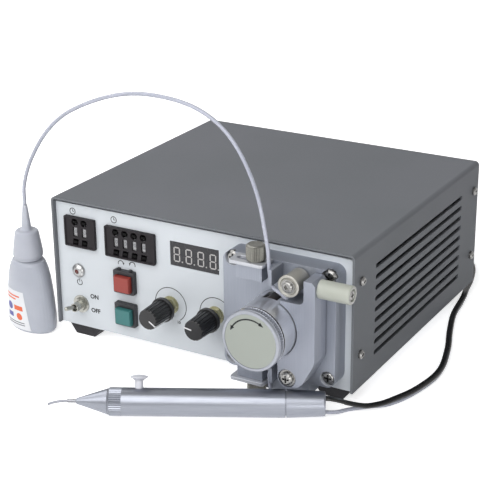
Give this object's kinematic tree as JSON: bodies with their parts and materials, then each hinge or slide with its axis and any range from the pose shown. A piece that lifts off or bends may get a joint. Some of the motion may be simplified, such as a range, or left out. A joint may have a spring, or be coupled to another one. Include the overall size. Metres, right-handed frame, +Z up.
{
  "type": "glue dispensing machine",
  "caption": "Bench glue dispenser: louvred metal case with panel controls, a roller pump head with swing arm, a corded finger pen, and a fluid bottle with its tube.",
  "frame": {"origin": "on the bench surface under the centre of the case", "axes": "+Z up, +X to the right seen from the front, the control panel faces -Y"},
  "size_m": [0.2953, 0.3735, 0.1822],
  "materials": {
    "cover_paint": "fine texture powder coat",
    "panel_paint": "satin",
    "sheet_steel": "zinc plated",
    "screw_steel": "nickel plated",
    "foot_rubber": "matt",
    "black_plastic": "satin",
    "circuit_board": "solder mask",
    "display_plastic": "smoked window",
    "knob_brass": "plain",
    "machined_aluminium": "bead blasted and anodised",
    "roller_plastic": "matt",
    "handle_nylon": "turned nylon",
    "red_plastic": "satin",
    "green_plastic": "satin",
    "wheel_plastic": "satin",
    "tip_steel": "polished",
    "bottle_plastic": "translucent",
    "tube_plastic": "translucent",
    "cord_rubber": "matt"
  },
  "bodies": {
    "machine": {"chassis": "sheet_steel", "front_panel": "panel_paint", "rear_panel": "sheet_steel", "top_cover": "cover_paint", "case_screws": "screw_steel", "rubber_feet": "foot_rubber", "rear_sockets": "black_plastic", "control_board": "circuit_board", "display_module": "display_plastic", "pushwheel_frames": "black_plastic", "power_led": "screw_steel", "toggle_switch": "screw_steel", "button_housings": "black_plastic", "potentiometers": "knob_brass", "pump_plate": "machined_aluminium", "pump_screws": "screw_steel", "pump_motor": "screw_steel", "clamp_blocks": "machined_aluminium", "guide_post": "screw_steel", "arm_pivot": "screw_steel", "pen_barrel": "machined_aluminium", "pen_nose": "machined_aluminium", "pen_tip": "tip_steel", "bottle_body": "bottle_plastic", "fluid_tube": "tube_plastic", "pen_cord": "cord_rubber", "pen_cord_coil": "cord_rubber", "pen_cord_tail": "cord_rubber", "pen_plug": "black_plastic"},
    "rotor": {"rotor": "machined_aluminium", "rotor_shaft": "screw_steel", "rotor_knob": "machined_aluminium"},
    "roller_1": {"roller_1": "roller_plastic"},
    "roller_2": {"roller_2": "roller_plastic"},
    "roller_3": {"roller_3": "roller_plastic"},
    "arm": {"pump_arm": "machined_aluminium", "arm_handle": "handle_nylon"},
    "upper_slide_plate": {"upper_slide_plate": "machined_aluminium"},
    "lower_slide_plate": {"lower_slide_plate": "machined_aluminium"},
    "upper_thumb_screw": {"upper_thumb_screw": "screw_steel"},
    "lower_thumb_screw": {"lower_thumb_screw": "screw_steel"},
    "toggle_lever": {"toggle_lever": "screw_steel"},
    "red_button": {"red_button": "red_plastic"},
    "green_button": {"green_button": "green_plastic"},
    "dispense_knob": {"dispense_knob": "black_plastic"},
    "vacuum_knob": {"vacuum_knob": "black_plastic"},
    "pen_button": {"pen_button": "machined_aluminium"},
    "bottle_cap": {"bottle_cap": "bottle_plastic"},
    "digit_wheel_1": {"digit_wheel_1": "wheel_plastic"},
    "digit_wheel_2": {"digit_wheel_2": "wheel_plastic"},
    "digit_wheel_3": {"digit_wheel_3": "wheel_plastic"},
    "digit_wheel_4": {"digit_wheel_4": "wheel_plastic"},
    "digit_wheel_5": {"digit_wheel_5": "wheel_plastic"},
    "digit_wheel_6": {"digit_wheel_6": "wheel_plastic"},
    "digit_key_1": {"digit_key_1": "black_plastic"},
    "digit_key_2": {"digit_key_2": "black_plastic"},
    "digit_key_3": {"digit_key_3": "black_plastic"},
    "digit_key_4": {"digit_key_4": "black_plastic"},
    "digit_key_5": {"digit_key_5": "black_plastic"},
    "digit_key_6": {"digit_key_6": "black_plastic"}
  },
  "joints": [
    {"name": "rotor_turn", "type": "hinge", "parent": "machine", "child": "rotor", "pos_m": [0.0664, -0.111, 0.0542], "axis": [0, -1, 0], "continuous": true},
    {"name": "roller_1_spin", "type": "hinge", "parent": "rotor", "child": "roller_1", "pos_m": [0.0664, -0.1192, 0.0694], "axis": [0, -1, 0], "continuous": true},
    {"name": "roller_2_spin", "type": "hinge", "parent": "rotor", "child": "roller_2", "pos_m": [0.05324, -0.1192, 0.0466], "axis": [0, -1, 0], "continuous": true},
    {"name": "roller_3_spin", "type": "hinge", "parent": "rotor", "child": "roller_3", "pos_m": [0.07956, -0.1192, 0.0466], "axis": [0, -1, 0], "continuous": true},
    {"name": "arm_swing", "type": "hinge", "parent": "machine", "child": "arm", "pos_m": [0.079, -0.1185, 0.024], "axis": [0, 1, 0], "range_deg": [0, 18]},
    {"name": "upper_slide", "type": "slide", "parent": "machine", "child": "upper_slide_plate", "axis": [1, 0, 0], "range_m": [-0.004, 0.0008]},
    {"name": "lower_slide", "type": "slide", "parent": "machine", "child": "lower_slide_plate", "axis": [1, 0, 0], "range_m": [-0.004, 0.0008]},
    {"name": "upper_thumb_turn", "type": "hinge", "parent": "machine", "child": "upper_thumb_screw", "pos_m": [0.0533, -0.1168, 0.095], "axis": [0, 0, 1], "range_deg": [0, 450]},
    {"name": "lower_thumb_turn", "type": "hinge", "parent": "machine", "child": "lower_thumb_screw", "pos_m": [0.0533, -0.1168, 0.008], "axis": [0, 0, -1], "range_deg": [0, 450]},
    {"name": "toggle_tilt", "type": "hinge", "parent": "machine", "child": "toggle_lever", "pos_m": [-0.0919, -0.103, 0.025], "axis": [1, 0, 0], "range_deg": [0, 28]},
    {"name": "red_press", "type": "slide", "parent": "machine", "child": "red_button", "axis": [0, 1, 0], "range_m": [0, 0.002], "stiffness_N_per_m": 250, "springref_m": -0.001},
    {"name": "green_press", "type": "slide", "parent": "machine", "child": "green_button", "axis": [0, 1, 0], "range_m": [0, 0.002], "stiffness_N_per_m": 250, "springref_m": -0.001},
    {"name": "dispense_turn", "type": "hinge", "parent": "machine", "child": "dispense_knob", "pos_m": [-0.0208, -0.11, 0.0394], "axis": [0, 1, 0], "range_deg": [-265, 35]},
    {"name": "vacuum_turn", "type": "hinge", "parent": "machine", "child": "vacuum_knob", "pos_m": [0.0128, -0.11, 0.0394], "axis": [0, 1, 0], "range_deg": [-65, 235]},
    {"name": "digit_1_turn", "type": "hinge", "parent": "machine", "child": "digit_wheel_1", "pos_m": [-0.0924, -0.0898, 0.0768], "axis": [1, 0, 0], "continuous": true},
    {"name": "digit_2_turn", "type": "hinge", "parent": "machine", "child": "digit_wheel_2", "pos_m": [-0.0853, -0.0898, 0.0768], "axis": [1, 0, 0], "continuous": true},
    {"name": "digit_3_turn", "type": "hinge", "parent": "machine", "child": "digit_wheel_3", "pos_m": [-0.06035, -0.0898, 0.0754], "axis": [1, 0, 0], "continuous": true},
    {"name": "digit_4_turn", "type": "hinge", "parent": "machine", "child": "digit_wheel_4", "pos_m": [-0.05325, -0.0898, 0.0754], "axis": [1, 0, 0], "continuous": true},
    {"name": "digit_5_turn", "type": "hinge", "parent": "machine", "child": "digit_wheel_5", "pos_m": [-0.04615, -0.0898, 0.0754], "axis": [1, 0, 0], "continuous": true},
    {"name": "digit_6_turn", "type": "hinge", "parent": "machine", "child": "digit_wheel_6", "pos_m": [-0.03905, -0.0898, 0.0754], "axis": [1, 0, 0], "continuous": true},
    {"name": "key_1_rock", "type": "hinge", "parent": "machine", "child": "digit_key_1", "pos_m": [-0.0924, -0.0898, 0.0768], "axis": [1, 0, 0], "range_deg": [-6, 6], "stiffness_Nm_per_rad": 0.02},
    {"name": "key_2_rock", "type": "hinge", "parent": "machine", "child": "digit_key_2", "pos_m": [-0.0853, -0.0898, 0.0768], "axis": [1, 0, 0], "range_deg": [-6, 6], "stiffness_Nm_per_rad": 0.02},
    {"name": "key_3_rock", "type": "hinge", "parent": "machine", "child": "digit_key_3", "pos_m": [-0.06035, -0.0898, 0.0754], "axis": [1, 0, 0], "range_deg": [-6, 6], "stiffness_Nm_per_rad": 0.02},
    {"name": "key_4_rock", "type": "hinge", "parent": "machine", "child": "digit_key_4", "pos_m": [-0.05325, -0.0898, 0.0754], "axis": [1, 0, 0], "range_deg": [-6, 6], "stiffness_Nm_per_rad": 0.02},
    {"name": "key_5_rock", "type": "hinge", "parent": "machine", "child": "digit_key_5", "pos_m": [-0.04615, -0.0898, 0.0754], "axis": [1, 0, 0], "range_deg": [-6, 6], "stiffness_Nm_per_rad": 0.02},
    {"name": "key_6_rock", "type": "hinge", "parent": "machine", "child": "digit_key_6", "pos_m": [-0.03905, -0.0898, 0.0754], "axis": [1, 0, 0], "range_deg": [-6, 6], "stiffness_Nm_per_rad": 0.02},
    {"name": "pen_press", "type": "slide", "parent": "machine", "child": "pen_button", "axis": [0.157, -0.3039, -0.9397], "range_m": [0, 0.004], "stiffness_N_per_m": 200, "springref_m": -0.001},
    {"name": "cap_turn", "type": "hinge", "parent": "machine", "child": "bottle_cap", "pos_m": [-0.1332, -0.0985, 0.06], "axis": [0, 0, 1], "range_deg": [0, 300]}
  ],
  "couplings": [
    {"joint": "roller_1_spin", "follows": "rotor_turn", "ratio": -4.8},
    {"joint": "roller_2_spin", "follows": "rotor_turn", "ratio": -4.8},
    {"joint": "roller_3_spin", "follows": "rotor_turn", "ratio": -4.8}
  ]
}
